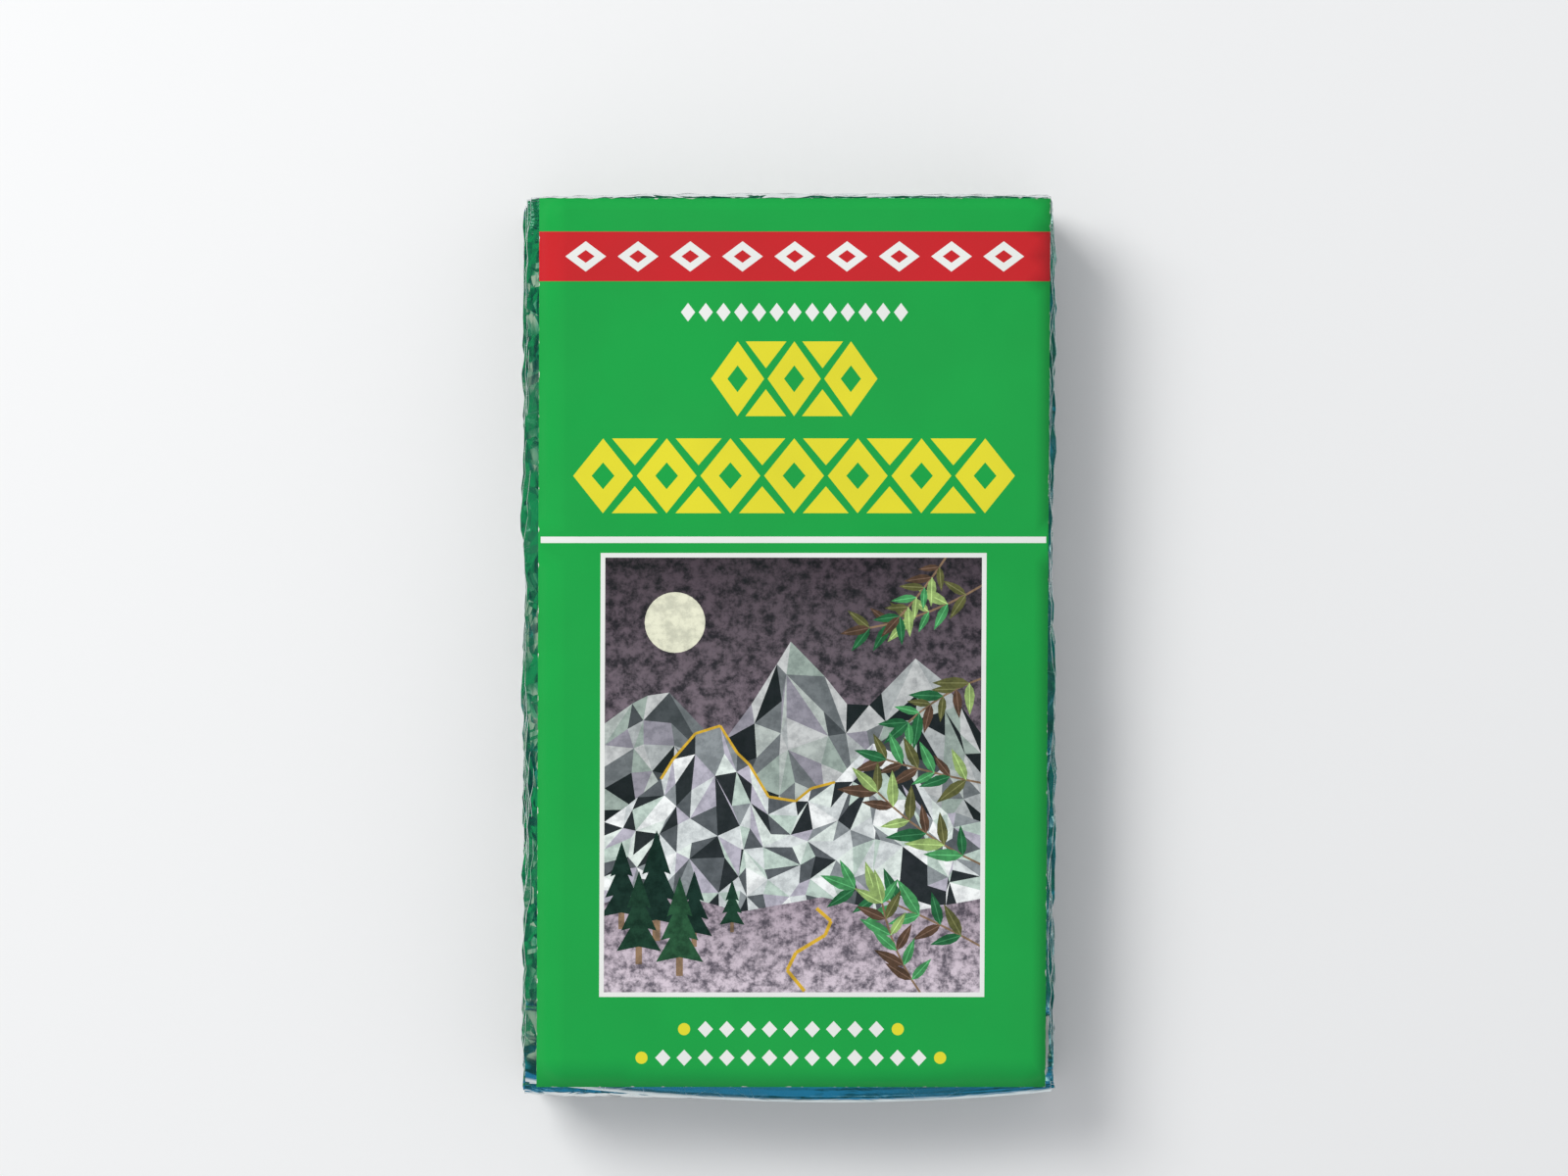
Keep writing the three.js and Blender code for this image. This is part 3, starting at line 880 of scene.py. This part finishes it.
u, v = cut_points.T
share = v / CARD_HEIGHT
left = LABEL_BOTTOM_LEFT + (LABEL_TOP_LEFT - LABEL_BOTTOM_LEFT) * share
right = LABEL_BOTTOM_RIGHT + (LABEL_TOP_RIGHT - LABEL_BOTTOM_RIGHT) * share
x = left + (right - left) * u / CARD_WIDTH
y = LABEL_BOTTOM_Y + v
ripple = CARD_RIPPLE * np.sin(x / 5.3 + 0.6 * np.sin(y / 11)) * np.sin(y / 7.1 + 1)
lower_right = np.clip((u / CARD_WIDTH + 1 - share) / 2, 0, 1) ** CORNER_POWER
upper_left = np.clip((1 - u / CARD_WIDTH + share) / 2, 0, 1) ** CORNER_POWER
corner_lift = CORNER_LIFT * (lower_right + 0.6 * upper_left)
z = layer_height(LAYERS - 1, x, y) + CARD_CLEARANCE + ripple + corner_lift
z = z - CARD_DROOP_SHARE * rim_droop(STRIP_WIDTH / 2 - np.abs(x), PACK_LENGTH / 2 - np.abs(y))
front = np.stack([x, y, z + CARD_THICKNESS], axis=1)
back = np.stack([x, y, z], axis=1)
point_count = len(cut_points)
face_prints = [prints[top_shape(numbers)] for numbers in shapes_at]
edges = [edge for face in cut_faces for edge in zip(face, [*face[1:], face[0]])]
inner_edges = set(edges) & {(end, start) for start, end in edges}
rim = [edge for edge in edges if edge not in inner_edges]
label_faces = [list(face) for face in cut_faces]
label_faces += [[point + point_count for point in face[::-1]] for face in cut_faces]
label_faces += [[start, start + point_count, end + point_count, end] for start, end in rim]
label_mesh = bpy.data.meshes.new("printed_label")
label_mesh.from_pydata((np.concatenate([front, back]) * MM).tolist(), [], label_faces)
smooth = np.arange(len(label_faces)) < 2 * len(cut_faces)
label_mesh.polygons.foreach_set("use_smooth", smooth)
label = bpy.data.objects.new("printed_sheet", label_mesh)
bpy.context.scene.collection.objects.link(label)

label_map = label_mesh.uv_layers.new(name="flat_label")
loop_points = np.zeros(len(label_mesh.loops), np.int32)
label_mesh.loops.foreach_get("vertex_index", loop_points)
flat_places = np.concatenate([cut_points, cut_points]) * MM
label_map.data.foreach_set("uv", flat_places[loop_points].astype(np.float32).reshape(-1))
inks = np.tile(BARE_CARD, (len(label_mesh.loops), 1))
tones = np.zeros(len(label_mesh.loops))
loop = 0
for face, shape in zip(cut_faces, face_prints):
    heights = [point[1] for point in shape.outline]
    low, high = min(heights), max(heights)
    for point in face:
        rise = (cut_points[point][1] - low) / (high - low)
        inks[loop] = [a + (b - a) * rise for a, b in zip(shape.low_ink, shape.high_ink)]
        tones[loop] = shape.tone
        loop += 1
ink_layer = label_mesh.color_attributes.new("ink", "FLOAT_COLOR", "CORNER")
ink_layer.data.foreach_set("color", inks.astype(np.float32).reshape(-1))
tone_layer = label_mesh.attributes.new("tone", "FLOAT", "CORNER")
tone_layer.data.foreach_set("value", tones.astype(np.float32))

# The label's finish: the mottle of the picture, a slightly uneven ink, wear along the edges, and
# the card's fibres. Depths are in metres, and scales are as many to the metre.
MOTTLE_DARK = (0.28, 0.26, 0.3, 1.0)
MOTTLE_LIGHT = (1.55, 1.5, 1.5, 1.0)
MOTTLE_SCALE = 420.0
UNEVEN_INK = (0.01, 0.05, 0.02, 1.0)
UNEVEN_SCALE = 60.0
UNEVEN_SHARE = 0.06
WEAR_DEPTH = (-0.00003, 0.00025)
WEAR_SCALE = 520.0
WEAR_BORDER = 0.00005
WORN_ROUGHNESS = 0.35
FIBRE_DEPTH = 0.00004
FIBRE_SCALE = 2600.0
CARD_CLEAN = 0.34
CARD_MARKED = 0.46

label_material = bpy.data.materials.new("printed_card")
label_material.use_nodes = True
tree = label_material.node_tree
shader = tree.nodes["Principled BSDF"]
place = add_node(tree, "ShaderNodeUVMap", uv_map="flat_label").outputs[0]
ink = add_node(tree, "ShaderNodeVertexColor", layer_name="ink").outputs["Color"]
tone = add_node(tree, "ShaderNodeAttribute", attribute_name="tone").outputs["Fac"]
mottle = (("Vector", place), ("Scale", MOTTLE_SCALE), ("Detail", 6.0), ("Roughness", 0.72))
mottle = add_node(tree, "ShaderNodeTexNoise", mottle).outputs["Fac"]
mottled = blend(tree, ramp(tree, mottle, 0.36, 0.62), MOTTLE_DARK, MOTTLE_LIGHT)
colour = blend(tree, tone, ink, blend(tree, 1.0, ink, mottled, "MULTIPLY"))
uneven = ramp(tree, noise(tree, place, UNEVEN_SCALE, 3.0), 0.3, 0.7, 0.0, UNEVEN_SHARE)
colour = blend(tree, uneven, colour, UNEVEN_INK)

# Wear: the printed layer has come off in places along the cut edges.
along_u, along_v, _ = add_node(tree, "ShaderNodeSeparateXYZ", ((0, place),)).outputs
to_side = calculate(tree, "MINIMUM", along_u, calculate(tree, "SUBTRACT", CARD_WIDTH * MM, along_u))
to_end = calculate(tree, "MINIMUM", along_v, calculate(tree, "SUBTRACT", CARD_HEIGHT * MM, along_v))
worn_depth = ramp(tree, noise(tree, place, WEAR_SCALE, 4.0), 0.5, 0.8, *WEAR_DEPTH)
past_wear = calculate(tree, "SUBTRACT", calculate(tree, "MINIMUM", to_side, to_end), worn_depth)
worn = ramp(tree, past_wear, -WEAR_BORDER, WEAR_BORDER, 1.0, 0.0)
colour = blend(tree, worn, colour, BARE_CARD)
plug(tree, shader.inputs["Base Color"], colour)
fibres = noise(tree, place, FIBRE_SCALE, 2.0)
bump = (("Height", fibres), ("Strength", 0.35), ("Distance", FIBRE_DEPTH))
plug(tree, shader.inputs["Normal"], add_node(tree, "ShaderNodeBump", bump).outputs[0])
marks = (("Place", place), ("Scale", 38.0), ("Clean", CARD_CLEAN), ("Marked", CARD_MARKED))
marks = add_node(tree, "ShaderNodeGroup", marks, node_tree=handling_marks).outputs
rougher = calculate(tree, "MULTIPLY", worn, WORN_ROUGHNESS)
plug(tree, shader.inputs["Roughness"], calculate(tree, "ADD", marks["Roughness"], rougher))
shader.inputs["Specular IOR Level"].default_value = 0.4
label_mesh.materials.append(label_material)
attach(label, "root")
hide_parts("printed_label")
